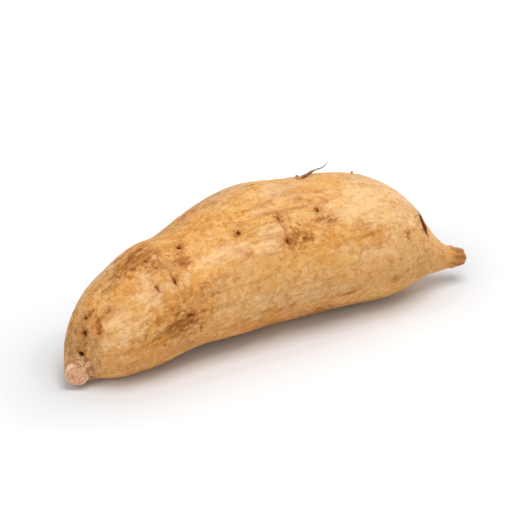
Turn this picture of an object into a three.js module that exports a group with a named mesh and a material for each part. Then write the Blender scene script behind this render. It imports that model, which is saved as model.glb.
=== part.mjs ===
// A whole sweet potato: one storage root, as picked, lying on its side on a flat surface.
//
// The root grew as one piece, so it is one closed solid: a cylinder whose rings are carried
// to the sections of the real root, then raised and lowered where it swells and sinks.
// Lengths are in millimetres and angles in degrees. +Z is up, and +X runs from the broken
// root tip to the stem end. The finished root stands on z = 0, and its box is centred over
// the origin.

import * as THREE from "three";
import { mergeVertices } from "three/addons/utils/BufferGeometryUtils.js";

// ---- Driving dimensions ----

const RINGS_PER_STATION = 4;
const SEGMENTS = 48; // vertices in each ring
const SKIN_COLOUR = "#dfa869";
const SKIN_ROUGHNESS = 0.7;

// Sections along the root, from the broken tip to the stem end. Each gives the middle of the
// section, half its width and half its height, and how far it is turned about +Z and nodded
// down at its tip side. The sections that carry the weight reach a little under the floor.
const STATIONS = [
  { x: -100.7, y: -13.8, z: 7.2, wide: 3.8, tall: 3.8, turn: 54, nod: 0 },
  { x: -100.3, y: -13.2, z: 7.2, wide: 5, tall: 5, turn: 54, nod: 0 },
  { x: -98.8, y: -11.2, z: 7.3, wide: 5.5, tall: 5.3, turn: 48, nod: 2 },
  { x: -96.6, y: -9.6, z: 8.8, wide: 7.6, tall: 7.4, turn: 30, nod: 10 },
  { x: -93.4, y: -8, z: 13, wide: 12, tall: 12, turn: 12, nod: 10 },
  { x: -88.8, y: -7.9, z: 17, wide: 16.4, tall: 16.4, turn: 5, nod: 6 },
  { x: -81, y: -7.4, z: 20.8, wide: 20.4, tall: 21.3, turn: 0, nod: 3 },
  { x: -66, y: -6, z: 24.2, wide: 24, tall: 24.8, turn: 0, nod: 3 },
  { x: -49, y: -4, z: 26.4, wide: 25.6, tall: 25, turn: 0, nod: 2 },
  { x: -28, y: -1, z: 29, wide: 28.7, tall: 28.8, turn: 0, nod: 0 },
  { x: -7, y: 1.4, z: 30.5, wide: 30.8, tall: 31.2, turn: 0, nod: 0 },
  { x: 14, y: 0, z: 30.2, wide: 31, tall: 30.8, turn: 0, nod: 0 },
  { x: 34, y: -2, z: 29.2, wide: 30.2, tall: 29.8, turn: 0, nod: 0 },
  { x: 52, y: -6, z: 27.9, wide: 27.4, tall: 27.6, turn: -5, nod: 0 },
  { x: 66, y: -10, z: 23.8, wide: 21.6, tall: 21.2, turn: -10, nod: -3 },
  { x: 76, y: -13.4, z: 18, wide: 12.6, tall: 12, turn: -16, nod: -6 },
  { x: 83.6, y: -15.8, z: 13.8, wide: 6.8, tall: 6.6, turn: -18, nod: -6 },
  { x: 90, y: -17.8, z: 12.4, wide: 4.4, tall: 4.4, turn: -18, nod: -4 },
  { x: 94.6, y: -19.2, z: 12.2, wide: 3.7, tall: 3.7, turn: -18, nod: -2 },
];

// Where the skin swells (rise above 0) or sinks (rise below 0). "at" is the way round the
// root: 0 faces +Y, 90 is the top, 180 faces -Y and 270 is the underside. "long" and
// "broad" are how far the swelling reaches along and round the root.
const SWELLINGS = [
  { name: "nose cheek", x: -74, at: 138, long: 16, broad: 34, rise: 1.2 },
  { name: "nose brow", x: -58, at: 88, long: 9, broad: 34, rise: 2.2 },
  { name: "neck behind the nose", x: -42, at: 88, long: 9, broad: 36, rise: -2 },
  { name: "furrow beside the ridge", x: -34, at: 124, long: 26, broad: 13, rise: -1.1 },
  { name: "ridge along the flank", x: -32, at: 148, long: 26, broad: 14, rise: 1.5 },
  { name: "hollow under the ridge", x: -46, at: 186, long: 20, broad: 22, rise: -1.8 },
  { name: "waist", x: 4, at: 132, long: 9, broad: 24, rise: -1.2 },
  { name: "dip of the back", x: 20, at: 84, long: 9, broad: 30, rise: -1.1 },
  { name: "shoulder", x: 36, at: 140, long: 20, broad: 36, rise: 1.1 },
  { name: "swelling of the far side", x: -22, at: 20, long: 24, broad: 30, rise: 1.6 },
  { name: "furrow of the far side", x: 26, at: 8, long: 26, broad: 15, rise: -1.9 },
  { name: "hollow of the far nose", x: -64, at: 22, long: 12, broad: 26, rise: -1.5 },
  { name: "arch of the underside", x: -40, at: 270, long: 13, broad: 45, rise: -2 },
  { name: "hollow of the stem end", x: 68, at: 210, long: 10, broad: 30, rise: -1.6 },
];

// ---- Geometry ----

// One value of the sections as a smooth curve along the root.
function smoothly(key) {
  const points = STATIONS.map((station, i) => new THREE.Vector2(i, station[key]));
  const curve = new THREE.SplineCurve(points);
  return (share) => curve.getPoint(share).y;
}

const along = Object.fromEntries(Object.keys(STATIONS[0]).map((key) => [key, smoothly(key)]));

// A smooth hill: 1 at its middle, falling away over the given reach.
function hill(distance, reach) {
  return Math.exp(-((distance / reach) ** 2));
}

// How far the skin is raised at a place along and round the root.
function riseAt(x, at) {
  return SWELLINGS.reduce((sum, swelling) => {
    const round = THREE.MathUtils.euclideanModulo(at - swelling.at + 180, 360) - 180;
    return sum + swelling.rise * hill(x - swelling.x, swelling.long) * hill(round, swelling.broad);
  }, 0);
}

// Carries each ring of a unit cylinder to its section. The centres of the two caps stay put.
function loftedRoot() {
  const rings = RINGS_PER_STATION * (STATIONS.length - 1);
  const geometry = new THREE.CylinderGeometry(1, 1, 1, SEGMENTS, rings);
  const position = geometry.getAttribute("position");
  for (let i = 0; i < position.count; i++) {
    const share = THREE.MathUtils.clamp(0.5 - position.getY(i), 0, 1);
    const across = position.getX(i);
    const upward = position.getZ(i);
    const at = THREE.MathUtils.radToDeg(Math.atan2(upward, across));
    const rise = riseAt(along.x(share), at);
    const nod = THREE.MathUtils.degToRad(along.nod(share));
    const turn = THREE.MathUtils.degToRad(along.turn(share));
    const point = new THREE.Vector3(
      0,
      (along.wide(share) + rise) * across,
      (along.tall(share) + rise) * upward,
    )
      .applyEuler(new THREE.Euler(0, -nod, turn, "ZYX"))
      .add(new THREE.Vector3(along.x(share), along.y(share), along.z(share)));
    position.setXYZ(i, point.x, point.y, Math.max(point.z, 0));
  }
  return geometry;
}

// Centres the root's box over the origin. Its resting patches already lie on z = 0.
function centred(geometry) {
  geometry.computeBoundingBox();
  const middle = geometry.boundingBox.getCenter(new THREE.Vector3());
  return geometry.translate(-middle.x, -middle.y, 0);
}

function closedSolid(geometry) {
  geometry.deleteAttribute("normal");
  geometry.deleteAttribute("uv");
  return mergeVertices(geometry, 1e-3);
}

const skin = new THREE.MeshStandardMaterial({
  color: SKIN_COLOUR,
  roughness: SKIN_ROUGHNESS,
  metalness: 0,
});

const sweetPotato = new THREE.Mesh(closedSolid(centred(loftedRoot())), skin);
sweetPotato.name = "sweet_potato";

const object = new THREE.Group();
object.add(sweetPotato);
export default object;
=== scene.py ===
# %% [markdown]
# # A sweet potato
# A sweet potato is a storage root: one swollen, slightly bent body under a thin corky skin,
# with a broken root tip at one end and the stump of its stem at the other. The solid that
# this scene loads already has the root's size and its main swellings. What it lacks is
# everything that makes it look grown, and this lesson adds that in the order in which the
# plant did: the folds along the root, the scars of its side roots, then the colour.

# %% The frame
import math
import random

import bmesh
import bpy
import numpy as np
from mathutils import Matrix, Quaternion, Vector, noise
from mathutils.bvhtree import BVHTree


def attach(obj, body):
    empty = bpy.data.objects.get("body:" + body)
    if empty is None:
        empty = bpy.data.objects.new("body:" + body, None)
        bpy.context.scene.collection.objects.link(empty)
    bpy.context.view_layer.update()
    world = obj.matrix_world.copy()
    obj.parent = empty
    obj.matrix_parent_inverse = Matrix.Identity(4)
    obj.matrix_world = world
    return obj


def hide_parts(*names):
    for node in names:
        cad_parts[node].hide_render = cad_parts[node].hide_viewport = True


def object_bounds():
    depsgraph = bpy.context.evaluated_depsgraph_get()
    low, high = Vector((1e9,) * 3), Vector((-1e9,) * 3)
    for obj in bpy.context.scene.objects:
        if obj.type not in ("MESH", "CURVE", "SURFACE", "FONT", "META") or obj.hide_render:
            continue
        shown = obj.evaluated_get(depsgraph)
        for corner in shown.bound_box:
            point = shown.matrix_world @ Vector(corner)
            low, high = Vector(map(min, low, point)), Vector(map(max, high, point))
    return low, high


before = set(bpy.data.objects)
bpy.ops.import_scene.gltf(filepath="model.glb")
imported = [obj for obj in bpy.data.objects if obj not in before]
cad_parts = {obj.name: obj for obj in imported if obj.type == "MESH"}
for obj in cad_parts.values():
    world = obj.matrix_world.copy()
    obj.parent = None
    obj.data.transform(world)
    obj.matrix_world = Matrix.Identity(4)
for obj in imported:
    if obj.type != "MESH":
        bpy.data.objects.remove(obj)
cad_low, cad_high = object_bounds()
MM = 0.001
print("solid:", [round(side / MM, 1) for side in cad_high - cad_low], "mm")

# %% [markdown]
# ## Camera
# The root is seen a little from above and from its broken end, from a metre away. A long
# lens keeps its proportions calm. The picture is a tenth wider than the root is long.

# %% Camera
VIEW_AZIMUTH = math.radians(-33)
VIEW_ELEVATION = math.radians(26)
VIEW_DISTANCE = 1.0  # m
PICTURE_WIDTH = 1.1 * (cad_high.x - cad_low.x)

target = (cad_low + cad_high) / 2
to_camera = Vector(
    (
        math.sin(VIEW_AZIMUTH) * math.cos(VIEW_ELEVATION),
        -math.cos(VIEW_AZIMUTH) * math.cos(VIEW_ELEVATION),
        math.sin(VIEW_ELEVATION),
    )
)
camera_right = Vector((math.cos(VIEW_AZIMUTH), math.sin(VIEW_AZIMUTH), 0))
camera = bpy.data.objects.new("camera", bpy.data.cameras.new("camera"))
camera.data.lens = camera.data.sensor_width * VIEW_DISTANCE / PICTURE_WIDTH
camera.location = target + VIEW_DISTANCE * to_camera
camera.rotation_euler = to_camera.to_track_quat("Z", "Y").to_euler()
bpy.context.scene.collection.objects.link(camera)
bpy.context.scene.camera = camera
bpy.context.scene.view_settings.view_transform = "Standard"
print("lens:", round(camera.data.lens), "mm")

# %% [markdown]
# ## Colours and nodes
# Colours are written as they look on a screen. Shaders count in linear light, so one
# function turns them over. A second one adds a shader node to a material or to the world,
# sets it and links it up.

# %% Helpers for materials


def linear(hex_colour):
    """An sRGB hex colour as linear RGBA."""
    parts = [int(hex_colour[i : i + 2], 16) / 255 for i in (1, 3, 5)]
    return [c / 12.92 if c <= 0.04045 else ((c + 0.055) / 1.055) ** 2.4 for c in parts] + [1]


def add(owner, kind, inputs=(), **settings):
    """Adds a node. An input is set to a value or linked to another node's socket."""
    tree = owner.node_tree
    node = tree.nodes.new("ShaderNode" + kind)
    for name, value in settings.items():
        setattr(node, name, value)
    for name, value in dict(inputs).items():
        if isinstance(value, bpy.types.NodeSocket):
            tree.links.new(value, node.inputs[name])
        else:
            node.inputs[name].default_value = value
    return node


def new_material(name):
    """A material without any nodes yet."""
    material = bpy.data.materials.new(name)
    material.use_nodes = True
    material.node_tree.nodes.clear()
    return material


print("mid grey in linear light:", round(linear("#808080")[0], 3))

# %% [markdown]
# ## Light and floor
# A large soft box overhead models the swellings. A second one beside the camera opens up the
# broken end, a third behind the root gives its crest a bright edge, and an even white
# surrounding fills the shade. Their strengths add up so that a colour facing the light
# renders about as it is written. The surrounding and the floor still look white. What they
# give off for that shows only to the camera, in reflections and through glass.

# %% Light
FILL = 0.29
KEY = 0.61
FRONT = 0.34
BACK = 0.37
LAMP_DISTANCE = 1.0  # m
SMALL_BOX = 0.6  # m
LARGE_BOX = 0.8  # m


def softbox(name, direction, share, size):
    """A square area light that lends a surface facing it that share of full light."""
    lamp = bpy.data.objects.new(name, bpy.data.lights.new(name, "AREA"))
    lamp.data.size = size
    lamp.data.energy = share * (math.pi * LAMP_DISTANCE) ** 2
    lamp.location = target + LAMP_DISTANCE * direction.normalized()
    lamp.rotation_euler = direction.to_track_quat("Z", "Y").to_euler()
    bpy.context.scene.collection.objects.link(lamp)
    print(name + ":", round(lamp.data.energy, 1), "W")


up = Vector((0, 0, 1))
overhead = 0.2 * camera_right + up + 0.3 * to_camera
beside_camera = to_camera - 0.5 * camera_right + 0.2 * up
behind_root = 0.9 * up + 0.8 * camera_right - to_camera
softbox("overhead_light", overhead, KEY, SMALL_BOX)
softbox("front_light", beside_camera, FRONT, LARGE_BOX)
softbox("back_light", behind_root, BACK, LARGE_BOX)

# %% White surrounding


def looked_at(owner):
    """1 where the camera sees it directly, in a reflection or through glass, and else 0."""
    path = add(owner, "LightPath").outputs
    seen = path["Is Camera Ray"]
    for ray in ("Is Glossy Ray", "Is Transmission Ray"):
        seen = add(owner, "Math", {0: seen, 1: path[ray]}, operation="MAXIMUM").outputs[0]
    return seen


world = bpy.data.worlds.new("white_surrounding")
world.use_nodes = True
world.node_tree.nodes.clear()
strength = add(world, "MapRange", {"Value": looked_at(world), "To Min": FILL}).outputs[0]
background = add(world, "Background", {"Color": (1, 1, 1, 1), "Strength": strength})
add(world, "OutputWorld", {"Surface": background.outputs[0]})
bpy.context.scene.world = world
print("surrounding:", FILL, "of full light")

# %% Floor paper
# Matt paper scatters light evenly: it shows a soft shadow and mirrors nothing. It gives off
# the little that its own reflection lacks to be white. That is least beside the root, so
# the shadow stays dark, and grows with the distance from a line under the root's middle.
GLOW_NEAR = 0.03
GLOW_FAR = 0.8
HALF_LINE = 0.07  # m, half the length of that line
SHADOW_REACH = 0.035  # m from the line to where the glow begins to grow
WHITE_REACH = 0.8  # m from the line to the full glow

paper = new_material("matt white paper")
paper_place = add(paper, "TexCoord").outputs["Object"]
folded = add(paper, "VectorMath", {0: paper_place}, operation="ABSOLUTE").outputs[0]
past_end = add(paper, "VectorMath", {0: folded, 1: (HALF_LINE, 0, 0)}, operation="SUBTRACT")
past_end = {0: past_end.outputs[0], 1: (0, 0, 0)}
beside_line = add(paper, "VectorMath", past_end, operation="MAXIMUM").outputs[0]
from_line = add(paper, "VectorMath", {0: beside_line}, operation="LENGTH").outputs["Value"]
reach = {"Value": from_line, "From Min": SHADOW_REACH, "From Max": WHITE_REACH}
share = add(paper, "MapRange", reach).outputs[0]
quick_rise = add(paper, "Math", {0: share, 1: 0.5}, operation="POWER").outputs[0]
glow = {"Value": quick_rise, "To Min": GLOW_NEAR, "To Max": GLOW_FAR}
glow = add(paper, "MapRange", glow).outputs[0]
glow = add(paper, "Math", {0: looked_at(paper), 1: glow}, operation="MULTIPLY").outputs[0]
paper_shader = add(
    paper,
    "BsdfPrincipled",
    {
        "Base Color": linear("#e6e8ea"),
        "Roughness": 0.9,
        "Specular IOR Level": 0.1,
        "Emission Color": (1, 1, 1, 1),
        "Emission Strength": glow,
    },
)
add(paper, "OutputMaterial", {"Surface": paper_shader.outputs[0]})
print("floor paper:", len(paper.node_tree.nodes), "nodes")

# %% Floor
FLOOR_REACH = 3.0  # m

floor_mesh = bpy.data.meshes.new("floor")
sheet = bmesh.new()
bmesh.ops.create_grid(sheet, x_segments=1, y_segments=1, size=FLOOR_REACH)
sheet.to_mesh(floor_mesh)
sheet.free()
floor_mesh.materials.append(paper)
floor = bpy.data.objects.new("floor", floor_mesh)
bpy.context.scene.collection.objects.link(floor)
print("floor:", 2 * FLOOR_REACH, "m wide")

# %% [markdown]
# ## From the solid to a fine skin
# The solid's faces are 4 mm wide, and a wrinkle is under 1 mm, so the skin needs a finer
# mesh. Subdividing alone would crowd faces at the two ends. Here a copy of the solid is
# rounded by subdivision, then remeshed into even little squares, and relaxed.

# %% Applying modifiers


def evaluated(name, mesh, modifiers):
    """The mesh after those modifiers, each given as its type and settings."""
    carrier = bpy.data.objects.new(name, mesh)
    bpy.context.scene.collection.objects.link(carrier)
    for kind, settings in modifiers:
        modifier = carrier.modifiers.new(kind.lower(), kind)
        for setting, value in settings.items():
            setattr(modifier, setting, value)
    graph = bpy.context.evaluated_depsgraph_get()
    result = bpy.data.meshes.new_from_object(carrier.evaluated_get(graph))
    bpy.data.objects.remove(carrier)
    return result


# %% The solid in four-sided faces
# Subdivision rounds four-sided faces evenly. The middle of each end cap is a pole, where
# many triangles meet, and tells where the tip and the stem's end are.
POLE_EDGES = 20

solid = bmesh.new()
solid.from_mesh(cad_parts["sweet_potato"].data)
bmesh.ops.remove_doubles(solid, verts=solid.verts, dist=0.01 * MM)
solid.normal_update()
poles = [vertex for vertex in solid.verts if len(vertex.link_edges) > POLE_EDGES]
poles.sort(key=lambda vertex: vertex.co.x)
(tip, tip_normal), (stem, stem_normal) = [
    (np.array(pole.co) / MM, np.array(pole.normal)) for pole in poles
]
bmesh.ops.join_triangles(
    solid,
    faces=solid.faces,
    angle_face_threshold=math.radians(30),
    angle_shape_threshold=math.radians(60),
)
coarse = bpy.data.meshes.new("rounded_root")
solid.to_mesh(coarse)
solid.free()
print("faces to round:", len(coarse.polygons))

# %% A rounded copy of the solid
CELL = 0.69 * MM
RELAXED = 6  # times

skin_mesh = evaluated(
    "carrier",
    coarse,
    [
        ("SUBSURF", {"levels": 2, "render_levels": 2}),
        ("REMESH", {"mode": "VOXEL", "voxel_size": CELL}),
    ],
)
skin = bmesh.new()
skin.from_mesh(skin_mesh)
for _ in range(RELAXED):
    bmesh.ops.smooth_vert(
        skin, verts=skin.verts, factor=0.5, use_axis_x=True, use_axis_y=True, use_axis_z=True
    )
skin.to_mesh(skin_mesh)
skin.free()
print("skin:", len(skin_mesh.vertices), "points")

# %% [markdown]
# ## Finding the way on the skin
# Wrinkles and fibres run along the root and gather at its tips, so their patterns need
# coordinates that follow it. One is the distance from the broken tip. The others say how
# far round the root a point is, on a circle of fixed size, so that no seam shows where the
# circle closes. They are kept on the mesh as the attribute "grain", for the material.

# %% Points, normals and the root's own line
GIRTH = 30.0  # mm, the radius of the circle that the grain is wound on
SLICE = 2.0  # mm
FIBRE_SWAY = 0.13  # radians

count = len(skin_mesh.vertices)
points = np.zeros(3 * count, np.float32)
skin_mesh.vertices.foreach_get("co", points)
points = points.reshape(-1, 3) / MM
normals = np.zeros(3 * count, np.float32)
skin_mesh.vertices.foreach_get("normal", normals)
normals = normals.reshape(-1, 3)

slice_of = np.floor((points[:, 0] - points[:, 0].min()) / SLICE).astype(int)
slices = range(slice_of.max() + 1)
slice_points = [points[slice_of == i] for i in slices]
spine = np.array([(p.max(0) + p.min(0)) / 2 for p in slice_points])


def spine_at(x):
    """The middle of the root at x millimetres along it."""
    return np.stack([np.interp(x, spine[:, 0], spine[:, axis]) for axis in range(3)], -1)


def ruffle(coordinates, size):
    """Smooth noise from -1 to 1 at each point, with cells of that size in mm."""
    return np.array([noise.noise(Vector(c)) for c in coordinates / np.array(size)])


from_spine = points - spine_at(points[:, 0])
around = np.arctan2(from_spine[:, 2], from_spine[:, 1]) + FIBRE_SWAY * ruffle(points, 20)
along = np.linalg.norm(points - tip, axis=1)
grain = np.stack([along, GIRTH * np.cos(around), GIRTH * np.sin(around)], 1)
print("broken tip:", tip.round(1), "facing", tip_normal.round(2))

# %% Places on the skin
skin_tree = BVHTree.FromPolygons(
    [Vector(p) for p in points], [list(face.vertices) for face in skin_mesh.polygons]
)


def on_skin(x, at):
    """Where the skin is at x mm along. at goes round from +Y over the top, in degrees."""
    at = math.radians(at)
    sight = Vector((0, math.cos(at), math.sin(at)))
    place, normal, _, _ = skin_tree.ray_cast(Vector(spine_at(x)), sight)
    return place, normal


def hill(distance):
    """1 at distance 0, falling smoothly to almost nothing at a distance of 2."""
    return np.exp(-(distance**2))


def step(value, low, high):
    """0 below low, 1 above high, and a smooth climb between."""
    share = np.clip((value - low) / (high - low), 0, 1)
    return share * share * (3 - 2 * share)


print("top of the thickest part:", round(on_skin(0, 90)[0].z, 1), "mm up")

# %% [markdown]
# ## Patches
# No two patches of the skin grew alike. Over the broken end's shoulder it is brown and
# corky, elsewhere it is ochre, grey, dulled by dried soil, or rubbed pale. Some patches are
# also painted light and shade: pale ones brighten dim skin, dust on the crest is partly a
# painted sheen, and grey, ochre and brown ones darken the edge of the broken end and the
# low flank as painted shade. There are small rusty stains, scabs, and knobbly places. Each
# patch is placed singly and kept as a soft hill of strength over the mesh. The material
# later tears its edge.

# %% Brown, corky patches
# Each patch: x along the root, the way round it in degrees, its reach along and across in
# mm, and its strength.
# Those at the edge of the broken end and low on the flank are partly painted shade.
BROWN_PATCHES = [
    (-64, 94, 9, 5, 1.0),
    (-70, 91, 8, 4.5, 0.9),
    (-57, 112, 6, 3, 0.55),
    (-78, 88, 7, 5, 0.5),
    (-66, 72, 6, 3.5, 0.5),
    (-95, 62, 3, 4, 0.4),
    (2, 149, 2.4, 2.8, 0.7),
    (6, 145, 8, 5, 0.45),
    (15, 147, 7, 4, 0.25),
    (-49, 105, 3, 2, 0.35),
    (-44, 157, 9, 4, 0.4),
    (-46, 169, 7, 3, 0.4),
    (-61, 170, 5, 3, 0.6),
    (1, 127, 2.5, 2, 0.6),
    (22, 137, 2.5, 1.6, 0.6),
    (-55, 182, 10, 6, 0.8),
    (-50, 175, 4, 4, 0.7),
    (-92, 96, 4, 5, 0.3),
    (-90.5, 142, 2, 2, 0.35),
    (10.5, 140, 3, 2.5, 0.65),
    (74, 60, 10, 9, 0.9),
    (30, 350, 16, 8, 0.8),
    (-50, 330, 14, 9, 0.8),
    (-84, 300, 8, 8, 0.6),
    (20, 230, 12, 6, 0.6),
]
print("brown patches:", len(BROWN_PATCHES))

# %% Ochre patches
# Younger skin, and skin stained by clay, is more orange.
# Those low on the flank under the ridge also darken it: painted shade.
OCHRE_PATCHES = [
    (-74, 115, 6, 5, 1.0),
    (-46, 124, 4, 3, 1.0),
    (-44, 154, 8, 4, 0.8),
    (-46, 169, 8, 4, 0.7),
    (-66, 196, 10, 5, 0.8),
    (-53, 112, 3, 3, 0.8),
    (37, 165, 6, 3, 0.5),
    (43, 158, 6, 3.5, 0.9),
    (-79, 180, 8, 5, 0.4),
    (-54, 129, 4, 3, 0.8),
    (-49, 117, 7, 4, 0.9),
    (-88, 128, 3, 4, 0.7),
    (-59, 150, 5, 3, 0.8),
    (21, 153, 5, 3.5, 1.0),
    (-67, 152, 3, 2, 0.8),
    (34, 156, 4.5, 4, 1.0),
    (28, 154, 3.5, 2.5, 0.7),
    (12, 141, 4, 3, 0.6),
    (17, 150, 4, 3, 0.4),
    (-49, 105, 4, 3, 0.8),
    (-32, 96, 11, 6, 0.8),
    (-22, 110, 13, 5, 0.6),
    (-14, 78, 12, 6, 0.6),
    (-60, 168, 9, 5, 0.7),
    (-10, 30, 20, 10, 0.8),
    (46, 20, 14, 9, 0.7),
    (-10, 215, 24, 10, 0.7),
    (-66, 230, 14, 8, 0.6),
]
print("ochre patches:", len(OCHRE_PATCHES))

# %% Grey patches
# Dried soil sits in the thin skin near the broken tip and underneath.
# At the edge of the broken end they also darken the skin where it turns from the light: painted
# shade.
GREY_PATCHES = [
    (-91, 122, 5, 8, 0.9),
    (-94, 100, 6, 8, 0.9),
    (-88, 40, 8, 10, 0.5),
    (-90, 205, 6, 8, 0.7),
    (-95, 66, 4, 5, 0.7),
    (-78, 97, 5, 3, 0.6),
    (-82, 112, 3, 2, 0.4),
    (-56, 118, 7, 2, 0.7),
    (-40, 60, 14, 7, 0.6),
    (56, 70, 14, 9, 0.6),
    (-30, 270, 30, 12, 0.7),
    (40, 250, 18, 10, 0.6),
]
print("grey patches:", len(GREY_PATCHES))

# %% Pale patches
# Handling has rubbed the swellings, so they are lighter and calmer.
# Some are painted light too: they brighten the nose, the far end and the low flank where the lamps
# leave the skin dim.
PALE_PATCHES = [
    (-70, 119, 7, 4, 0.9),
    (-66, 137, 8, 5.5, 1.0),
    (-52, 137, 5, 4, 0.9),
    (-35, 153, 5, 3, 0.5),
    (-35, 134, 11, 3, 1.0),
    (-25, 138, 9, 3, 0.9),
    (-57, 107, 8, 1.5, 0.8),
    (-71, 98, 5, 1.5, 0.7),
    (-80, 153, 10, 8, 0.65),
    (-88, 163, 4, 4, 0.7),
    (-10, 147, 9, 3.5, 0.9),
    (-4, 135, 5, 2.5, 0.9),
    (0, 141, 1.5, 1.5, 0.9),
    (1, 99, 13, 7, 0.2),
    (-81, 144, 6, 7, 0.8),
    (66, 116, 9, 9, 0.9),
    (43, 125, 13, 9, 1.0),
    (43, 137, 8, 7, 0.9),
    (-4, 117, 5, 2.5, 0.5),
    (-86, 152, 3, 3, 0.6),
    (30, 130, 8, 5, 0.7),
    (60, 135, 8, 9, 0.8),
    (-30, 20, 16, 8, 0.7),
    (20, 300, 22, 9, 0.6),
    (-6, 190, 22, 8, 0.5),
    (41, 165, 10, 5, 1.0),
    (-8, 139, 4, 3, 0.8),
    (-56.5, 138.5, 2, 1.5, 0.9),
]
print("pale patches:", len(PALE_PATCHES))

# %% Dust and painted sheen
# Fine dry soil lies on the back like powder and takes the orange out of the skin.
# Along the crest these patches are also painted sheen, paler and greyer where the skin turns away.
DUST_AND_SHEEN_PATCHES = [
    (-8, 66, 14, 8, 1.0),
    (9, 96, 9, 5, 0.7),
    (57, 93, 11, 6, 0.9),
    (-73, 64, 7, 5, 1.0),
    (-84, 64, 6, 5, 0.6),
    (34, 76, 12, 5, 0.5),
    (-40, 40, 10, 6, 0.6),
    (71, 116, 5, 5, 0.8),
    (10, 200, 16, 5, 0.5),
]
print("dusty patches:", len(DUST_AND_SHEEN_PATCHES))

# %% Rusty stains
# They are small and sharper, where sap dried on the skin.
RUSTY_PATCHES = [
    (-86.6, 132, 1.3, 2.3, 1.6),
    (-46.4, 123, 2.8, 1.9, 1.0),
    (-44.2, 122, 1.5, 1.2, 0.8),
    (-46.6, 113, 2.2, 1.4, 0.9),
    (-43.5, 105, 1.7, 1.6, 0.6),
    (-61.2, 103, 1.8, 1.4, 0.6),
    (-83.3, 122, 1.0, 0.9, 0.6),
    (-87.6, 102, 2.4, 1.4, 0.7),
    (-91.4, 142, 1.2, 1.0, 0.7),
    (-50.5, 177, 2.6, 1.8, 0.9),
    (-57, 180, 3.0, 2.2, 0.8),
    (1.4, 81, 2.6, 1.2, 1.0),
    (26.5, 78, 2.4, 1.8, 0.9),
    (27, 70, 1.8, 1.5, 0.7),
    (52, 74, 1.5, 1.3, 0.7),
    (1.2, 126, 1.6, 1.2, 0.5),
    (3, 147, 2.0, 2.4, 0.7),
    (9, 146, 7, 4, 0.5),
    (7, 141, 2.2, 1.3, 0.6),
    (12, 149, 1.8, 1.4, 0.6),
    (20, 134, 4.5, 0.9, 0.8),
    (23.6, 137, 1.9, 1.1, 1.0),
    (19.2, 125, 1.5, 1.2, 0.7),
    (58, 158, 2.5, 1.6, 0.7),
    (-30, 40, 3.0, 2.0, 0.8),
    (24, 16, 4.0, 2.0, 0.8),
    (71, 141, 4.5, 4.6, 0.7),
    (-72, 350, 3.0, 2.2, 0.8),
    (30, 205, 3.5, 1.8, 0.7),
    (-24, 232, 3.0, 2.2, 0.8),
]
print("rusty stains:", len(RUSTY_PATCHES))

# %% Knobbly skin
# It is raised in small lumps, mostly round scars.
KNOBBLY_PATCHES = [
    (10, 146, 13, 8, 1.0),
    (-50, 128, 8, 8, 0.8),
    (-87, 112, 5, 8, 0.8),
    (-62, 98, 10, 6, 0.7),
    (34, 158, 8, 6, 0.6),
    (-54, 176, 9, 7, 0.8),
    (-40, 20, 14, 8, 0.8),
    (22, 340, 16, 9, 0.8),
    (-66, 320, 10, 8, 0.7),
    (24, 226, 14, 8, 0.8),
    (64, 40, 8, 8, 0.7),
]
print("knobbly places:", len(KNOBBLY_PATCHES))

# %% Scabs
# They are dead, crusty skin. The widest lies near the stem end.
SCABS = [(73.6, 140.5, 2.6, 3.9, 2.0), (-18, 262, 3.2, 2.0, 1.8), (-80, 26, 3.4, 1.1, 1.2)]
print("scabs:", len(SCABS))

# %% From places to amounts
SOFTNESS = 1.3  # how much wider a hill is than the reach of its patch


def patch_amount(patches):
    """How strongly each point of the skin belongs to the patches, from 0 to their strength."""
    amount = np.zeros(count)
    for x, at, reach, breadth, strength in patches:
        place, normal = on_skin(x, at)
        lengthwise = Vector((1, 0, 0)) - normal * normal.x
        lengthwise.normalize()
        away = points - np.array(place)
        long = away @ np.array(lengthwise)
        wide = np.linalg.norm(away - np.outer(long, lengthwise), axis=1)
        distance = np.hypot(long / reach, wide / breadth)
        amount = np.maximum(amount, strength * hill(distance / SOFTNESS))
    return amount


brown = patch_amount(BROWN_PATCHES)
ochre = patch_amount(OCHRE_PATCHES)
grey = patch_amount(GREY_PATCHES)
pale = patch_amount(PALE_PATCHES)
dust_and_sheen = patch_amount(DUST_AND_SHEEN_PATCHES)
rusty = patch_amount(RUSTY_PATCHES)
knobbly = patch_amount(KNOBBLY_PATCHES)
scab = patch_amount(SCABS)
print("corky share of the skin:", round(float((brown > 0.5).mean()), 3))

# %% [markdown]
# ## Folds and wrinkles
# The root swelled from inside and its skin had to follow, so it lies in shallow folds
# along the length, with creases and finer wrinkles between them. Where growth was uneven
# the skin is corky and cracked. All of it is height over the smooth skin, in millimetres,
# added up first and applied once. A crease runs where smooth noise passes through zero.

# %% Creases and cracks
# Numbers added to the coordinates only shift a pattern, so that no two patterns line up.


def creases(coordinates, size, width):
    """1 along winding lines, falling to 0 beside them. size sets how far apart they run."""
    return hill(ruffle(coordinates, size) / width)


wrinkled = step(ruffle(points + 200, 19), 0.0, 0.4)
creased = wrinkled * creases(grain + 90, (18, 3.6, 3.6), 0.1)
long_creased = step(ruffle(points + 300, 24), -0.2, 0.25) * creases(grain + 120, (60, 9, 9), 0.06)
cracked = brown * creases(points + 40, 3.4, 0.14)
print("creased share of the skin:", round(float((creased > 0.5).mean()), 3))

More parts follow.
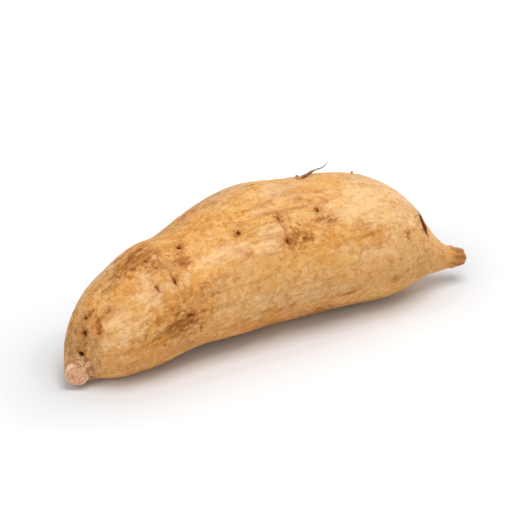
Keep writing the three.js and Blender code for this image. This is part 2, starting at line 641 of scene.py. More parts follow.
# %% Relief all over
# Wide swellings, long and short wrinkles along the fibres, coarse and fine lumps. Then what
# the knobbly, the corky and the scabbed skin add, with a low rim round each scab.
height = 0.4 * ruffle(points, 22)
height += 0.22 * ruffle(grain, (46, 7, 7))
height += 0.11 * ruffle(grain + 50, (16, 2.8, 2.8))
height += 0.14 * ruffle(points + 60, 4.6)
height += 0.08 * ruffle(points + 30, 2.2)
height += knobbly * (0.42 * ruffle(points + 90, 4.0) + 0.2 * ruffle(points + 95, 2.0))
height += brown * (0.2 * ruffle(grain + 20, (2.6, 8, 8)) + 0.16 * ruffle(points, 2.0))
height += step(scab, 0.3, 0.9) * (0.25 * ruffle(points + 80, 1.6) - 0.3)
height += 0.25 * hill((scab - 0.45) / 0.25)
height -= 0.1 * creased + 0.2 * long_creased + 0.2 * cracked
print("relief all over:", height.min().round(2), "to", height.max().round(2), "mm")

# %% Folds placed singly
# Each fold: the places it runs through, as x and way round, then its width and its rise
# in mm. A ridge runs along the flank, and a pinch across it marks the waist.
FOLDS = [
    (
        [(-90, 152), (-82, 140), (-72, 134), (-62, 142), (-50, 148), (-34, 146), (-12, 148)],
        2.8,
        0.7,
    ),
    ([(-58, 128), (-46, 132), (-30, 128), (-14, 134)], 1.6, -0.35),
    ([(-66, 158), (-54, 165), (-44, 165), (-32, 161)], 3.2, -0.8),
    ([(-78, 100), (-70, 96), (-62, 92), (-54, 96)], 1.0, -0.3),
    ([(-74, 106), (-66, 108), (-56, 118), (-50, 126)], 1.2, -0.3),
    ([(-56, 112), (-48, 112), (-38, 108)], 1.0, -0.2),
    ([(-4, 152), (1, 146), (3, 134), (2, 124)], 1.7, -0.6),
    ([(-8, 118), (-1, 121), (3, 122), (9, 121), (16, 120)], 0.9, -0.4),
    ([(3, 122), (0, 128), (2, 138), (1, 146)], 0.9, -0.6),
    ([(6, 123), (5, 132)], 0.8, -0.3),
    ([(-5, 131), (-2, 137), (-2, 144)], 1.6, 0.5),
    ([(5, 130), (6, 137), (6, 144)], 1.6, 0.4),
    ([(8, 112), (16, 112)], 0.7, -0.25),
    ([(-84, 172), (-74, 178), (-62, 186)], 1.2, -0.25),
]
print("folds:", len(FOLDS))

# %% Running the folds over the skin
FOLD_STEP = 1.5  # mm
NARROW = 1.0  # mm. A fold narrower than this is a crease, darkened with painted shade.


def way_between(places):
    """Points on the skin every FOLD_STEP mm through the places."""
    xs, ways = zip(*places)
    total = sum(abs(b - a) for a, b in zip(xs, xs[1:]))
    total += sum(abs(math.radians(b - a)) * GIRTH for a, b in zip(ways, ways[1:]))
    shares = np.linspace(0, len(places) - 1, int(total / FOLD_STEP) + 2)
    numbers = range(len(places))
    spots = zip(np.interp(shares, numbers, xs), np.interp(shares, numbers, ways))
    return np.array([on_skin(x, at)[0] for x, at in spots])


painted_fold_shade = np.zeros(count)
for places, width, rise in FOLDS:
    way = way_between(places)
    nearest = np.full(count, np.inf)
    for spot in way:
        nearest = np.minimum(nearest, np.linalg.norm(points - spot, axis=1))
    fade = 0.7 + 0.3 * ruffle(points + 500, 6)
    height += rise * fade * hill(nearest / width)
    # A narrow fold is darkened in the material: painted shade.
    if width < NARROW:
        painted_fold_shade = np.maximum(painted_fold_shade, fade * hill(nearest / width))
print("with the folds:", height.min().round(2), "to", height.max().round(2), "mm")

# %% [markdown]
# ## Scars of the side roots
# Thin roots once grew out of the skin. Each left a shallow dimple with a dark slit or pit
# in it, mostly lying across the root, with a slightly raised lip and a crease to each
# side. The larger ones are placed singly, small ones are scattered by a seeded draw.

# %% Scars placed singly
# Each scar: x, way round, half the slit across and along the root in mm, its turn in
# degrees, its depth in mm, and how dark it is.
SCARS = [
    (-53.8, 136, 3.2, 0.9, 0, 1.5, 1.1),
    (-62.7, 135, 2.3, 0.75, 0, 1.1, 1.0),
    (-90.7, 121, 1.4, 1.3, 0, 1.0, 1.3),
    (-92.8, 155, 1.5, 1.4, 30, 1.5, 1.5),
    (-87.4, 141, 1.3, 0.8, 0, 0.7, 1.1),
    (-88.6, 101, 1.1, 1.0, 40, 0.7, 1.2),
    (-87.4, 103, 0.9, 0.7, 60, 0.5, 1.1),
    (-86.2, 104, 0.9, 0.7, 0, 0.5, 1.0),
    (-86.3, 115, 0.6, 0.5, 0, 0.4, 0.9),
    (-82.8, 122, 1.2, 0.6, 0, 0.6, 0.9),
    (-88.5, 65, 0.8, 0.7, 0, 0.5, 0.8),
    (-91.4, 61, 0.7, 0.8, 0, 0.5, 0.8),
    (-88.9, 150, 1.2, 0.5, 60, 0.5, 0.6),
    (-61.2, 103, 1.0, 0.9, 30, 0.7, 1.1),
    (-56.0, 87, 0.9, 1.1, 0, 0.6, 0.8),
    (-63.3, 80, 0.8, 1.6, 0, 0.6, 0.7),
    (-43.5, 105, 1.2, 1.3, 0, 0.9, 1.5),
    (-47.1, 124, 0.9, 1.7, 20, 0.6, 0.7),
    (-50.0, 176, 1.0, 2.4, 0, 0.9, 1.0),
    (-59.5, 178, 0.8, 1.2, 40, 0.5, 0.6),
    (-75.2, 151, 0.6, 0.7, 0, 0.3, 0.8),
    (-71, 161, 0.8, 0.8, 0, 0.3, 0.7),
    (-77.5, 174, 0.8, 1.1, 0, 0.4, 0.7),
    (-74.2, 176, 0.7, 0.9, 0, 0.3, 0.7),
    (-66.2, 184, 0.6, 1.1, 0, 0.3, 0.7),
    (-19.1, 125, 1.3, 1.1, 0, 1.0, 1.2),
    (-20.8, 127, 0.7, 0.9, 0, 0.5, 0.8),
    (-16.8, 121, 0.7, 0.6, 0, 0.4, 0.6),
    (1.7, 126, 1.9, 0.8, -20, 0.7, 0.6),
    (1.1, 147, 1.6, 1.3, 0, 1.2, 1.1),
    (9.3, 148, 0.9, 1.8, 0, 0.7, 0.7),
    (19.8, 125.5, 1.2, 0.9, 0, 0.9, 1.1),
    (18.2, 120, 0.6, 0.9, 0, 0.4, 0.5),
    (19.3, 115, 0.5, 0.7, 0, 0.3, 0.7),
    (24.8, 120, 0.6, 0.6, 0, 0.3, 0.7),
    (26.2, 107, 0.5, 0.9, 0, 0.3, 0.6),
    (22.8, 136, 0.7, 1.7, 0, 0.6, 0.9),
    (17.9, 135, 0.6, 0.9, 0, 0.4, 0.6),
    (0.3, 87, 0.6, 1.5, 0, 0.4, 0.6),
    (13.5, 112, 0.4, 1.6, 0, 0.4, 0.6),
    (36, 122, 0.5, 0.7, 0, 0.3, 0.5),
    (52.7, 114, 0.6, 0.8, 0, 0.4, 0.5),
    (53.9, 121, 0.5, 0.8, 0, 0.3, 0.5),
    (58.9, 156, 0.8, 0.9, 0, 0.5, 0.8),
    (60, 140, 0.9, 0.6, 0, 0.4, 0.6),
    (34.2, 144, 0.6, 0.7, 0, 0.3, 0.5),
    (-30, 60, 2.4, 0.7, 0, 1.1, 0.9),
    (8, 30, 2.0, 0.8, 15, 1.1, 0.9),
    (40, 355, 2.4, 0.8, 0, 1.2, 1.0),
    (-52, 20, 1.8, 0.7, 20, 0.9, 0.8),
    (18, 222, 2.2, 0.8, 0, 1.1, 0.9),
    (-20, 300, 2.0, 0.7, 0, 1.0, 0.8),
    (66, 20, 1.6, 0.7, 0, 0.8, 0.8),
    (-10, 350, 1.0, 1.0, 0, 0.7, 1.0),
    (30, 40, 0.9, 1.0, 0, 0.7, 0.9),
    (-70, 330, 1.2, 1.0, 0, 0.8, 1.0),
    (52, 200, 1.8, 0.7, 0, 0.9, 0.8),
    (-2, 196, 0.8, 1.4, 0, 0.5, 0.7),
]
print("scars placed singly:", len(SCARS))

# %% Scattered small scars
SMALL_SCARS = 130

chance = random.Random(11)
scattered = [
    (
        chance.uniform(-88, 76),
        chance.uniform(0, 360),
        chance.uniform(0.35, 0.75),
        chance.uniform(0.3, 0.6),
        chance.uniform(-30, 30),
        chance.uniform(0.12, 0.35),
        chance.uniform(0.2, 0.7),
    )
    for _ in range(SMALL_SCARS)
]
print("small scars:", len(scattered))

# %% Sinking the scars
# The places are shifted a little by noise before their distance is measured, which makes
# each slit ragged. Its dimple, side creases and lip are shares of its depth.
DIMPLE = 0.3
SIDE_CREASE = 0.15
LIP = 0.2
NEAR = 12  # mm, past which a scar changes nothing
HALO = 0.6  # how dark the stain round a scar is beside the scar itself

scar = np.zeros(count)
halo = np.zeros(count)
for x, at, breadth, length, turn, depth, darkness in SCARS + scattered:
    place, normal = on_skin(x, at)
    away = points - np.array(place)
    near = np.linalg.norm(away, axis=1) < NEAR
    away = away[near]
    away += np.outer(0.5 * ruffle(points[near], 1.7), (1, -1, 1))
    away += np.outer(0.4 * ruffle(points[near] + 5, 1.1), (-1, 1, 1))
    lengthwise = Vector((1, 0, 0)) - normal * normal.x
    lengthwise.rotate(Quaternion(normal, math.radians(turn)))
    lengthwise.normalize()
    long = away @ np.array(lengthwise)
    wide = away @ np.array(normal.cross(lengthwise))
    slit = hill(np.hypot(long / length, wide / breadth))
    dimple = hill(np.hypot(long, wide) / (1.4 * breadth + 1))
    lip = hill((np.hypot(long / (length + 0.9), wide / (breadth + 0.9)) - 1.3) / 0.5)
    side_crease = hill(long / 0.6) * hill(wide / (3 * breadth + 1))
    height[near] -= depth * (slit + DIMPLE * dimple + SIDE_CREASE * side_crease - LIP * lip)
    scar[near] = np.maximum(scar[near], darkness * slit)
    halo[near] = np.maximum(halo[near], HALO * darkness * dimple)
print("with the scars:", height.min().round(2), "to", height.max().round(2), "mm")

# %% [markdown]
# ## The broken tip
# The thin end of the root snapped off at harvest. The wound dried to a pinkish disc with
# faint rings and a pale rim, and beside it the skin frayed into small brown scales.

# %% The parts of the broken tip
# The stub ends in a face. One side of the face is covered by frayed skin, and the rest is
# bare flesh. Scurf is all the scaly skin of the stub.
FACE_RADIUS = 5.2  # mm
STUB_RADIUS = 8  # mm
STUB_REACH = 6.5  # mm behind the broken face
FRAYED_SIDE = np.array((0.62, -0.24, 0.75))  # from the tip towards the frayed skin

from_tip = points - tip
over_face = from_tip @ tip_normal
off_axis = np.linalg.norm(from_tip - np.outer(over_face, tip_normal), axis=1)
ragged = 0.6 * ruffle(points + 15, 1.9)
on_stub = step(-np.abs(over_face + ragged), -STUB_REACH, -STUB_REACH + 2.5)
on_stub *= step(-off_axis, -STUB_RADIUS - 1, -STUB_RADIUS + 1)
face = on_stub * step(over_face + ragged, -2.2, -1.2)
frayed = step(from_tip @ FRAYED_SIDE + 1.5 * ragged, 2.0, 3.6)
flesh = face * (1 - frayed)
scurf = on_stub * np.maximum(1 - face, frayed)
print("wound:", int((flesh > 0.5).sum()), "points, scales:", int((scurf > 0.5).sum()), "points")

# %% Rings, rim and scales
RING_SPACING = 1.9  # mm
RIM_WIDTH = 1.6  # mm

rings = np.cos(2 * math.pi * (off_axis + 1.5 * ragged) / RING_SPACING)
ring = flesh * step(rings, 0.1, 0.9) * step(-off_axis, -FACE_RADIUS, -FACE_RADIUS + 1.5)
rim = face * step(off_axis, FACE_RADIUS - RIM_WIDTH, FACE_RADIUS - 0.4) * (1 - 0.6 * frayed)
height += face * (0.12 * rings + 0.15 * ruffle(points, 1.7)) + 0.2 * rim
height += scurf * (0.5 * ruffle(points + 10, 2.1) + 0.3 * ruffle(points + 70, 3.4))
height -= scurf * 0.45 * creases(points + 33, 2.6, 0.16)
print("rings:", int(FACE_RADIUS / RING_SPACING))

# %% [markdown]
# ## The stem end
# The other end tapers into the stump of the stem. Its bark is woody and ribbed, with a low
# collar where the skin begins, and the stump was torn off: its end is splintered round a
# hollow pith. The ribs are wide in grain units, because the stump is so thin.

# %% The stem end
STEM_REACH = 10  # mm
COLLAR_AT = 6  # mm
STUMP_RADIUS = 3.8  # mm
TORN_DEPTH = 1.2  # mm
PITH_RADIUS = 1.3  # mm

from_stem = points - stem
behind_cut = -(from_stem @ stem_normal)
off_stem = np.linalg.norm(from_stem + np.outer(behind_cut, stem_normal), axis=1)
uneven = ruffle(points + 25, 2.4)
stem_end = step(-behind_cut + 2 * uneven, -STEM_REACH, -COLLAR_AT + 2)
torn_face = step(-behind_cut, -TORN_DEPTH, -0.5) * step(-off_stem, -STUMP_RADIUS, -3.2)
height += stem_end * (1 - torn_face) * (0.5 * ruffle(grain, (8, 11, 11)) + 0.15 * uneven)
height += 0.35 * hill((behind_cut - COLLAR_AT + uneven) / 0.8)
pith = torn_face * hill(off_stem / PITH_RADIUS)
height += torn_face * 0.5 * ruffle(points + 35, 1.3) - 0.9 * pith
print("stem end:", int((stem_end > 0.5).sum()), "points")

# %% Raising the skin
raised = points + normals * height[:, None]
raised[:, 2] = np.maximum(raised[:, 2], 0)
skin_mesh.vertices.foreach_set("co", (raised * MM).astype(np.float32).ravel())
skin_mesh.polygons.foreach_set("use_smooth", np.ones(len(skin_mesh.polygons), bool))
skin_mesh.update()
print("height of the relief:", height.min().round(2), "to", height.max().round(2), "mm")

# %% Amounts for the material
amounts = {
    "brown": brown,
    "ochre": ochre,
    "grey": grey,
    "pale": pale,
    "dust_and_sheen": dust_and_sheen,
    "rusty": rusty,
    "scab": scab,
    # The crease amount darkens creases and narrow folds with painted shade, and cork cracks.
    "crease": np.clip(0.4 * (creased + long_creased) + 0.7 * cracked + painted_fold_shade, 0, 1),
    "scar": scar,
    "halo": halo,
    "flesh": flesh,
    "ring": ring,
    "rim": rim,
    "scurf": scurf,
    "stem_end": stem_end,
    "torn_face": torn_face,
    "pith": pith,
}
for name, values in amounts.items():
    attribute = skin_mesh.attributes.new(name, "FLOAT", "POINT")
    attribute.data.foreach_set("value", values.astype(np.float32))
attribute = skin_mesh.attributes.new("grain", "FLOAT_VECTOR", "POINT")
attribute.data.foreach_set("vector", grain.astype(np.float32).ravel())
print("attributes:", len(skin_mesh.attributes))

# %% [markdown]
# ## Skin material
# Sweet potato skin is periderm: a few layers of dry cork over moist flesh. It is matt to
# slightly satin, so light slides over it without a clear reflection. Its colour is never
# one tan: slow patches, ochre and brown stains, lines along the fibres, fine dark flecks
# of soil, and nearly black pits. Each gets its own layer, from the widest to the finest.
# The sizes of the patterns are in mm, and their shifts keep them from lining up.

# %% Coordinates and amounts
periderm = new_material("sweet potato periderm")
place = add(periderm, "TexCoord").outputs["Object"]
in_mm = {"Vector": place, "Scale": (1 / MM, 1 / MM, 1 / MM)}
in_mm = add(periderm, "Mapping", in_mm).outputs[0]
fibre = add(periderm, "Attribute", attribute_name="grain").outputs["Vector"]
stain = {
    name: add(periderm, "Attribute", attribute_name=name).outputs["Fac"] for name in amounts
}
print("amounts:", ", ".join(stain))

# %% Patterns of the skin


def mottle(
    vector,
    size,
    edges,
    amount=(0, 1),
    shift=0.0,
    detail=3,
    roughness=0.6,
    distortion=0.0,
    fade="SMOOTHSTEP",
):
    """Soft spots of that size in mm, or of one size for each direction.

    Noise below edges[0] gives amount[0], and noise above edges[1] gives amount[1].
    """
    cells = {"Vector": vector, "Scale": (np.ones(3) / size).tolist(), "Location": [shift] * 3}
    cells = {"Vector": add(periderm, "Mapping", cells).outputs[0], "Scale": 1}
    cells |= {"Detail": detail, "Roughness": roughness, "Distortion": distortion}
    spots = {"Value": add(periderm, "TexNoise", cells).outputs[0]}
    spots |= dict(zip(("From Min", "From Max", "To Min", "To Max"), (*edges, *amount)))
    return add(periderm, "MapRange", spots, interpolation_type=fade).outputs[0]


def winding_lines(vector, size, width, shift, depth=1.0):
    """depth along thin winding lines where noise passes its middle value, and else 0."""
    cells = mottle(vector, size, (0, 1), (-0.5, 0.5), shift, fade="LINEAR")
    off_middle = add(periderm, "Math", {0: cells}, operation="ABSOLUTE").outputs[0]
    lines = {"Value": off_middle, "From Max": width, "To Min": depth, "To Max": 0}
    return add(periderm, "MapRange", lines, interpolation_type="SMOOTHSTEP").outputs[0]


def torn(name, edges, shift, size=3.0, detail=5, by=0.42, roughness=0.65, distortion=0.3):
    """A patch with a torn edge: its strength is shifted by noise, then cut off."""
    rough = mottle(in_mm, size, (0.3, 0.7), (-by, by), shift, detail, roughness, distortion)
    patch = add(periderm, "Math", {0: stain[name], 1: rough}, operation="ADD").outputs[0]
    patch = {"Value": patch, "From Min": edges[0], "From Max": edges[1]}
    return add(periderm, "MapRange", patch, interpolation_type="SMOOTHSTEP").outputs[0]


# %% Layers of colour


def layered(under, over, *amounts, blend_type="MIX"):
    """A colour laid over another. How much of it shows is the product of the amounts."""
    shows, *others = amounts
    for amount in others:
        inputs = {0: shows, 1: amount}
        shows = add(periderm, "Math", inputs, operation="MULTIPLY", use_clamp=True).outputs[0]
    under, over = [linear(c) if isinstance(c, str) else c for c in (under, over)]
    inputs = {0: shows, 6: under, 7: over}
    return add(periderm, "Mix", inputs, data_type="RGBA", blend_type=blend_type).outputs[2]


# %% Ground colour and patches
# Tan skin with lighter plates a few millimetres wide, then the patches, each with its
# colour and how far it covers what is under it. Bark is streaked along the fibres.
colour = layered("#eba957", "#f3b86c", mottle(in_mm, 17, (0.38, 0.62)))
plates = mottle(in_mm, (8, 6, 6), (0.45, 0.57), detail=5, roughness=0.62, distortion=0.3)
colour = layered(colour, "#f7c37e", plates, 0.45)
# Pale: rubbed skin, and in places painted light.
colour = layered(colour, "#ffd299", torn("pale", (0.1, 0.9), 0, 4, 2, 0.3), 0.85)
# Ochre: stained skin, and low on the flank painted shade.
colour = layered(colour, "#e59a40", torn("ochre", (0.2, 0.75), 5, 3, 3), 0.75)
# Grey: dried soil, and at the edge of the broken end painted shade.
colour = layered(colour, "#b68751", torn("grey", (0.2, 0.8), 9), 0.65)
# Dust, and along the crest a painted sheen.
colour = layered(colour, "#e9c9a3", torn("dust_and_sheen", (0, 1), 33, 4, 2, 0.3), 0.55)
bark = mottle(fibre, (7, 1.8, 1.8), (0.4, 0.6), detail=4, roughness=0.65)
bark = layered("#a65f1a", "#dc9a48", bark)
# Bark: corky skin, and low on the flank painted shade.
colour = layered(colour, bark, torn("brown", (0.3, 0.65), 13), 0.85)
rust = mottle(in_mm, 1.1, (0.4, 0.6), detail=4, roughness=0.65)
rust = layered("#984b0c", "#c97c33", rust)
colour = layered(colour, rust, torn("rusty", (0.25, 0.75), 17, 2.2), 0.8)
print("with the patches:", len(periderm.node_tree.nodes), "nodes")

# %% Blotches
# Darker blotches and rubbed spots, and a finer pair. Rubbed skin is calmer: they are
# weaker where it is pale.
calm = {"Value": stain["pale"], "From Min": 0.2, "From Max": 0.9, "To Min": 1, "To Max": 0.5}
calm = add(periderm, "MapRange", calm, interpolation_type="SMOOTHSTEP").outputs[0]
blotch = mottle(in_mm, 3.4, (0.53, 0.65), (0, 0.38), 21, 4, 0.6, 0.3)
colour = layered(colour, "#dcb07c", blotch, calm, blend_type="MULTIPLY")
rubbed = mottle(in_mm, 2.6, (0.54, 0.68), (0, 0.34), 27, 4, 0.6, 0.3)
colour = layered(colour, "#ffd9a2", rubbed, calm)
print("with the blotches:", len(periderm.node_tree.nodes), "nodes")

# %% Streaks and flecks
# Streaks and lines run along the fibres, and are stronger in some places than in others.
# Flecks of soil come in clusters.
where = mottle(in_mm, 13, (0.44, 0.62), (0.15, 1), 31)
dark_streaks = mottle(fibre, (11, 1.7, 1.7), (0.54, 0.68), (0, 0.36), 0, 4, 0.62)
colour = layered(colour, "#cb925a", dark_streaks, where, blend_type="MULTIPLY")
light_streaks = mottle(fibre, (9, 1.4, 1.4), (0.54, 0.7), (0, 0.4), 37, 4, 0.62)
colour = layered(colour, "#ffdca5", light_streaks, where)
fine_lines = winding_lines(fibre, (7, 1.7, 1.7), 0.02, 41, 0.26)
colour = layered(colour, "#bd7f3c", fine_lines, where, blend_type="MULTIPLY")
scurfy = mottle(in_mm, 1.3, (0.52, 0.66), (0, 0.36), 43, 4, 0.72)
colour = layered(colour, "#c8945e", scurfy, calm, blend_type="MULTIPLY")
chalky = mottle(in_mm, 1.6, (0.54, 0.68), (0, 0.34), 47, 4, 0.72)
colour = layered(colour, "#ffe1b0", chalky, calm)
clusters = mottle(in_mm, 12, (0.5, 0.64), (0, 1), 53)
soil = mottle(in_mm, 1.4, (0.62, 0.7), (0, 0.7), 59)
colour = layered(colour, "#8a4f1c", soil, clusters)
print("with the flecks:", len(periderm.node_tree.nodes), "nodes")

# %% Corky skin
# It is cracked, flakes off pale, and keeps dried soil. Each of these begins and is full at
# its own amount of cork.
some_grey = add(periderm, "Math", {0: stain["grey"], 1: 0.7}, operation="MULTIPLY").outputs[0]
corky = {0: stain["brown"], 1: some_grey}
corky = add(periderm, "Math", corky, operation="MAXIMUM").outputs[0]
cracks = winding_lines(fibre, (5, 2.2, 2.2), 0.04, 61)
flakes = mottle(in_mm, 1.5, (0.54, 0.62), (0, 0.6), 101, 4, 0.7)
dried_soil = mottle(in_mm, 1.7, (0.53, 0.6), (0, 0.6), 67, 4, 0.65)
for over, pattern, begins, full, most in (
    ("#7d4715", cracks, 0.35, 0.8, 0.75),
    ("#f0bd80", flakes, 0.3, 0.7, 1),
    ("#9c642c", dried_soil, 0.4, 0.9, 1),
):
    cork = {"Value": corky, "From Min": begins, "From Max": full, "To Max": most}
    cork = add(periderm, "MapRange", cork, interpolation_type="SMOOTHSTEP").outputs[0]
    colour = layered(colour, over, pattern, cork)
print("with the cork:", len(periderm.node_tree.nodes), "nodes")

# %% Creases and scars
# The creases are darkened with painted shade, and the cork's cracks are dark. Soil stays
# round the scars, and a scar's pit is nearly black.
colour = layered(colour, "#b98655", stain["crease"], 0.7, blend_type="MULTIPLY")
ragged = mottle(in_mm, 1.8, (0.42, 0.56), (0.35, 1), 71, 4, 0.65)
colour = layered(colour, "#ad6220", stain["halo"], ragged)
pitted = torn("scar", (0.4, 0.9), 97, 0.9, 4, 0.3, roughness=0.7, distortion=0)
deep = {"Value": stain["scar"], "From Min": 0.8, "From Max": 1.3}
deep = add(periderm, "MapRange", deep, interpolation_type="SMOOTHSTEP").outputs[0]
pit = layered("#7a4208", "#421a02", deep)
print("with the scars:", len(periderm.node_tree.nodes), "nodes")

# %% Wound and scales
# The flesh is pinkish where it dried, darker in its rings and pale at the rim. The scales
# beside it are skin, with dark gaps between them.
wound = layered("#fac9a2", "#e6a887", mottle(in_mm, 1.6, (0.4, 0.6), detail=4))
wound = layered(wound, "#c4714f", stain["ring"], 0.6)
wound = layered(wound, "#ffdfb6", stain["rim"], 0.9)
scales = layered("#e8b88c", "#b67c4a", mottle(in_mm, 1.5, (0.44, 0.6), detail=4))
scales = layered(scales, "#7a4829", winding_lines(in_mm, 1.5, 0.03, 73), 0.75)
print("with the wound:", len(periderm.node_tree.nodes), "nodes")

# %% Stem wood and scab crust
stem_wood = mottle(fibre, 8, (0.4, 0.6), shift=75, detail=4, roughness=0.65)
stem_wood = layered("#8f5223", "#d09256", stem_wood)
splinters = layered("#7c4822", "#d49f6a", mottle(in_mm, 1.1, (0.4, 0.6)))
stem_wood = layered(stem_wood, splinters, stain["torn_face"])
stem_wood = layered(stem_wood, "#5b3316", stain["pith"], 0.8)
crust = mottle(in_mm, 1.0, (0.42, 0.6), detail=4, roughness=0.7)
crust = layered("#2c0f02", "#643311", crust)
crust = layered("#935724", crust, torn("scab", (0.5, 1.2), 77, 2.6, 3))
scabbed = torn("scab", (0.25, 0.75), 77, 2.6, 3)
print("with the stem wood and the crust:", len(periderm.node_tree.nodes), "nodes")

# %% All of it in one colour
colour = layered(colour, scales, stain["scurf"])
colour = layered(colour, pit, pitted)
colour = layered(colour, crust, scabbed)
colour = layered(colour, wound, stain["flesh"])
colour = layered(colour, stem_wood, torn("stem_end", (0.1, 1), 91, 2.5, 2), 0.85)
print("colour of the skin:", len(periderm.node_tree.nodes), "nodes")

# %% Relief and gloss of the skin
# Only grain too fine for the mesh is bump: small bumps all over and wrinkles along the
# fibres, less the fine lines. The plates are a little smoother than the skin between them,
# and pits and scabs are dull.
fine = mottle(in_mm, 0.9, (0, 1), (0, 1), 79, 4, 0.7, fade="LINEAR")
wrinkle = mottle(fibre, (6, 1, 1), (0, 1), (0, 1), 83, fade="LINEAR")
grain_height = add(periderm, "Math", {0: fine, 1: wrinkle}, operation="ADD").outputs[0]
grain_height = {0: grain_height, 1: fine_lines}
grain_height = add(periderm, "Math", grain_height, operation="SUBTRACT").outputs[0]
bump = {"Height": grain_height, "Strength": 0.8, "Distance": 0.28 * MM}
bump = add(periderm, "Bump", bump).outputs[0]
satin = {"Value": plates, "To Min": 0.64, "To Max": 0.54}
satin = add(periderm, "MapRange", satin, interpolation_type="SMOOTHSTEP").outputs[0]
dull = add(periderm, "Math", {0: pitted, 1: scabbed}, operation="MAXIMUM").outputs[0]
dull = {"Value": dull, "To Max": 0.95}
dull = add(periderm, "MapRange", dull, interpolation_type="SMOOTHSTEP").outputs[0]
rough = add(periderm, "Math", {0: satin, 1: dull}, operation="MAXIMUM").outputs[0]
skin_shader = add(
    periderm,
    "BsdfPrincipled",
    {
        "Base Color": colour,
        "Roughness": rough,
        "IOR": 1.45,
        "Specular IOR Level": 0.14,
        "Normal": bump,
    },
)
add(periderm, "OutputMaterial", {"Surface": skin_shader.outputs[0]})
print("skin material:", len(periderm.node_tree.nodes), "nodes")

# %% The whole root
skin_mesh.materials.clear()
skin_mesh.materials.append(periderm)
whole_root = bpy.data.objects.new("whole_root", skin_mesh)
bpy.context.scene.collection.objects.link(whole_root)
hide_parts("sweet_potato")
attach(whole_root, "root")
print("whole root:", len(skin_mesh.polygons), "faces")

# %% [markdown]
# ## Hair roots
# A few of the thin side roots are still on. Each is a curve with a round section that
# tapers to its tip, turned into a mesh. The thickest lies over the crest of the back.

# %% The way of each hair root
# Each hair root: where it leaves the skin (x and the way round) and how thick it is there,
# then the places that it goes through, in mm from there, each with its thickness.
HAIR_ROOTS = [
    (
        (27, 78, 1.7),
        [
            (1.2, 0.2, 0.7, 1.5),
            (3.4, 0.9, 0.6, 1.1),
            (5.4, 1.0, 1.3, 1.4),
            (6.6, 1.2, 1.5, 1.1),
            (7.6, 1.2, 1.7, 0.6),
            (12.4, 0.7, 2.2, 0.45),
            (15.2, 1.6, 4.0, 0.3),
        ],
    ),
    ((27, 70, 1.6), [(0.7, 0.3, 0.5, 1.3)]),
    ((52, 74, 1.1), [(0.8, 0.8, 0.7, 0.8)]),
    ((-34, 24, 1.0), [(-2, 1.3, -0.4, 0.8), (-6, 1.7, -3, 0.5), (-11, 0.8, -6.5, 0.3)]),
    (
        (8, 26, 1.2),
        [(1.5, 1.4, -0.6, 0.9), (5, 1.5, -3, 0.6), (9, 0.5, -6, 0.4), (13, -0.7, -8, 0.3)],
    ),
    ((40, 350, 0.9), [(-2, 1.4, -1, 0.7), (-4, 1.1, -4, 0.5), (-8, 0.3, -7, 0.3)]),
    ((-70, 330, 0.9), [(-1.5, 1.4, -0.6, 0.7), (-4, 1.6, -2.6, 0.4)]),
]
print("hair roots:", len(HAIR_ROOTS))

# %% Strands
SUNK = 0.6  # mm of each hair root below the skin


def hair_root(x, at, thick, way):
    """A round strand from the skin through the places of its way."""
    place, normal = on_skin(x, at)
    route = [(place - SUNK * normal, thick), (place, thick)]
    route += [(place + Vector(offset), thickness) for *offset, thickness in way]
    curve = bpy.data.curves.new("hair_root", "CURVE")
    curve.dimensions = "3D"
    curve.bevel_depth = 1.0
    curve.bevel_resolution = 2
    curve.use_fill_caps = True
    spline = curve.splines.new("NURBS")
    spline.points.add(len(route) - 1)
    spline.order_u = 3
    spline.use_endpoint_u = True
    spline.resolution_u = 10
    for point, (spot, thickness) in zip(spline.points, route):
        point.co = (*(spot * MM), 1)
        point.radius = thickness / 2 * MM
    return evaluated("hair_root", curve, [])


# %% Hair roots
# Dry roots are knobbly: each point moves out or in a little.
KNOBBLE = 0.16  # mm
KNOBBLE_SIZE = 0.9  # mm

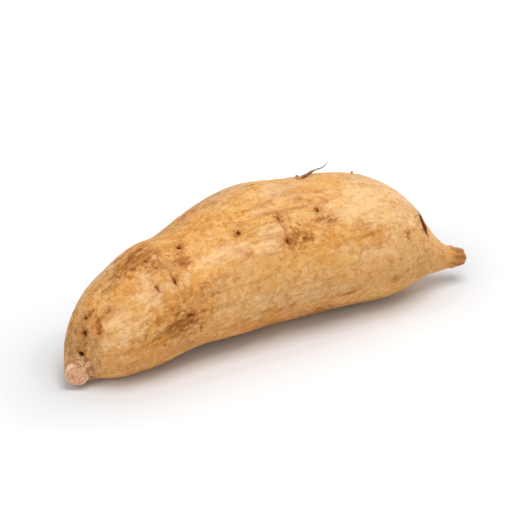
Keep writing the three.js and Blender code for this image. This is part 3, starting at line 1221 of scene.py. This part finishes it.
strands = bmesh.new()
for start, way in HAIR_ROOTS:
    strands.from_mesh(hair_root(*start, way))
bmesh.ops.remove_doubles(strands, verts=strands.verts, dist=0.01 * MM)
bmesh.ops.recalc_face_normals(strands, faces=strands.faces)
strands.normal_update()
for vertex in strands.verts:
    vertex.co += vertex.normal * KNOBBLE * MM * noise.noise(vertex.co / (KNOBBLE_SIZE * MM))
hair_mesh = bpy.data.meshes.new("hair_roots")
strands.to_mesh(hair_mesh)
strands.free()
hair_mesh.polygons.foreach_set("use_smooth", np.ones(len(hair_mesh.polygons), bool))
print("hair roots:", len(hair_mesh.polygons), "faces")

# %% Dry root fibre
# A dried side root is dull, and a mottled brown, from dark bark to pale bare fibre.
MOTTLE = 1.2  # mm

dry_fibre = new_material("dry root fibre")
fibre_place = add(dry_fibre, "TexCoord").outputs["Object"]
fibre_mm = add(dry_fibre, "Mapping", {"Vector": fibre_place, "Scale": (1 / MM, 1 / MM, 1 / MM)})
fibre_noise = add(
    dry_fibre, "TexNoise", {"Vector": fibre_mm.outputs[0], "Scale": 1 / MOTTLE, "Detail": 4}
).outputs[0]
fibre_tone = add(
    dry_fibre, "MapRange", {"Value": fibre_noise, "From Min": 0.35, "From Max": 0.65}
).outputs[0]
fibre_colour = add(
    dry_fibre,
    "Mix",
    {0: fibre_tone, 6: linear("#6f4a2a"), 7: linear("#a9835a")},
    data_type="RGBA",
).outputs[2]
fibre_bump = add(dry_fibre, "Bump", {"Height": fibre_noise, "Strength": 0.6, "Distance": 0.1 * MM})
fibre_shader = add(
    dry_fibre,
    "BsdfPrincipled",
    {"Base Color": fibre_colour, "Roughness": 0.75, "IOR": 1.45, "Normal": fibre_bump.outputs[0]},
)
add(dry_fibre, "OutputMaterial", {"Surface": fibre_shader.outputs[0]})
hair_mesh.materials.clear()
hair_mesh.materials.append(dry_fibre)
hair_roots = bpy.data.objects.new("hair_roots", hair_mesh)
bpy.context.scene.collection.objects.link(hair_roots)
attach(hair_roots, "root")
print("dry root fibre:", len(dry_fibre.node_tree.nodes), "nodes")
